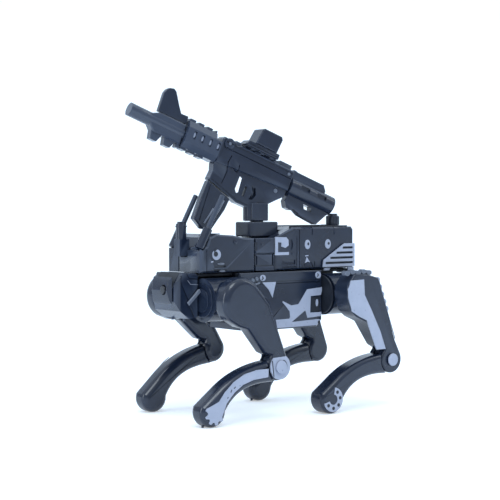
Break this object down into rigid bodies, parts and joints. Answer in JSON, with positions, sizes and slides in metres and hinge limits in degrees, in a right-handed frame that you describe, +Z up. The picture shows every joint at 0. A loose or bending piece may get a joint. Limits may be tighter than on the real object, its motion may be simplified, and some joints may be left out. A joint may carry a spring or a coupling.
{
  "type": "toy quadruped robot dog",
  "caption": "Small posable quadruped robot dog toy with jointed legs, a wedge-nosed head, a back pack with masts and a rotating turret holding a solid dummy launcher.",
  "frame": {"origin": "bottom centre of the box, on the floor under the body", "axes": "+X forwards to the head, +Y to the dog's left, +Z up"},
  "size_m": [0.0872, 0.0444, 0.1003],
  "materials": {
    "black_plastic": "semi-gloss moulded black plastic",
    "grey_paint": "satin pale grey paint over black plastic",
    "sensor_black": "polished black plastic"
  },
  "bodies": {
    "trunk": {"chassis": "black_plastic", "torso_panel_left": "black_plastic", "torso_panel_right": "black_plastic", "belly_cover": "black_plastic", "head_shell": "black_plastic", "face_plate": "black_plastic", "nose_sensor": "sensor_black", "cheek_strut_left": "grey_paint", "cheek_strut_right": "grey_paint", "pack_front": "black_plastic", "pack_middle": "black_plastic", "pack_rear": "black_plastic", "rear_knob": "black_plastic", "vent_grille_left": "grey_paint", "vent_grille_right": "grey_paint", "tail_bracket": "grey_paint", "sensor_peg": "black_plastic", "antenna_left": "black_plastic", "antenna_right": "black_plastic", "turret_collar": "black_plastic"},
    "turret": {"turret_post": "black_plastic", "post_pin": "black_plastic", "launcher_barrel": "black_plastic", "launcher_front_sight": "black_plastic", "launcher_handguard": "black_plastic", "launcher_receiver": "black_plastic", "launcher_magazine": "black_plastic", "launcher_optic": "black_plastic", "launcher_stock": "black_plastic"},
    "front_left_hip": {"hip_block_front_left": "black_plastic", "hip_pin_front_left": "black_plastic"},
    "front_left_thigh": {"thigh_front_left": "black_plastic", "knee_pin_front_left": "grey_paint"},
    "front_left_shank": {"shank_front_left": "black_plastic"},
    "front_right_hip": {"hip_block_front_right": "black_plastic", "hip_pin_front_right": "black_plastic"},
    "front_right_thigh": {"thigh_front_right": "black_plastic", "knee_pin_front_right": "grey_paint"},
    "front_right_shank": {"shank_front_right": "black_plastic"},
    "rear_left_hip": {"hip_block_rear_left": "black_plastic", "hip_pin_rear_left": "black_plastic"},
    "rear_left_thigh": {"thigh_rear_left": "black_plastic", "knee_pin_rear_left": "grey_paint"},
    "rear_left_shank": {"shank_rear_left": "black_plastic"},
    "rear_right_hip": {"hip_block_rear_right": "black_plastic", "hip_pin_rear_right": "black_plastic"},
    "rear_right_thigh": {"thigh_rear_right": "black_plastic", "knee_pin_rear_right": "grey_paint"},
    "rear_right_shank": {"shank_rear_right": "black_plastic"}
  },
  "joints": [
    {"name": "turret_yaw", "type": "hinge", "parent": "trunk", "child": "turret", "pos_m": [-0.00047, 0, 0.06], "axis": [0, 0, 1], "range_deg": [-3, 21]},
    {"name": "front_left_roll", "type": "hinge", "parent": "trunk", "child": "front_left_hip", "pos_m": [0.02073, 0.0079, 0.0363], "axis": [1, 0, 0], "range_deg": [-15, 30]},
    {"name": "front_left_swing", "type": "hinge", "parent": "front_left_hip", "child": "front_left_thigh", "pos_m": [0.02073, 0, 0.0363], "axis": [0, 1, 0], "range_deg": [-30, 25]},
    {"name": "front_left_knee", "type": "hinge", "parent": "front_left_thigh", "child": "front_left_shank", "pos_m": [0.0073, 0, 0.01619], "axis": [0, 1, 0], "range_deg": [-12, 50]},
    {"name": "front_right_roll", "type": "hinge", "parent": "trunk", "child": "front_right_hip", "pos_m": [0.02073, -0.0079, 0.0363], "axis": [-1, 0, 0], "range_deg": [-15, 30]},
    {"name": "front_right_swing", "type": "hinge", "parent": "front_right_hip", "child": "front_right_thigh", "pos_m": [0.02073, 0, 0.0363], "axis": [0, 1, 0], "range_deg": [-30, 25]},
    {"name": "front_right_knee", "type": "hinge", "parent": "front_right_thigh", "child": "front_right_shank", "pos_m": [0.00441, 0, 0.01845], "axis": [0, 1, 0], "range_deg": [-12, 50]},
    {"name": "rear_left_roll", "type": "hinge", "parent": "trunk", "child": "rear_left_hip", "pos_m": [-0.02667, 0.0079, 0.0363], "axis": [1, 0, 0], "range_deg": [-15, 30]},
    {"name": "rear_left_swing", "type": "hinge", "parent": "rear_left_hip", "child": "rear_left_thigh", "pos_m": [-0.02667, 0, 0.0363], "axis": [0, 1, 0], "range_deg": [-12, 30]},
    {"name": "rear_left_knee", "type": "hinge", "parent": "rear_left_thigh", "child": "rear_left_shank", "pos_m": [-0.0387, 0, 0.01532], "axis": [0, 1, 0], "range_deg": [-12, 50]},
    {"name": "rear_right_roll", "type": "hinge", "parent": "trunk", "child": "rear_right_hip", "pos_m": [-0.02667, -0.0079, 0.0363], "axis": [-1, 0, 0], "range_deg": [-15, 30]},
    {"name": "rear_right_swing", "type": "hinge", "parent": "rear_right_hip", "child": "rear_right_thigh", "pos_m": [-0.02667, 0, 0.0363], "axis": [0, 1, 0], "range_deg": [-12, 30]},
    {"name": "rear_right_knee", "type": "hinge", "parent": "rear_right_thigh", "child": "rear_right_shank", "pos_m": [-0.03935, 0, 0.01571], "axis": [0, 1, 0], "range_deg": [-12, 50]}
  ]
}
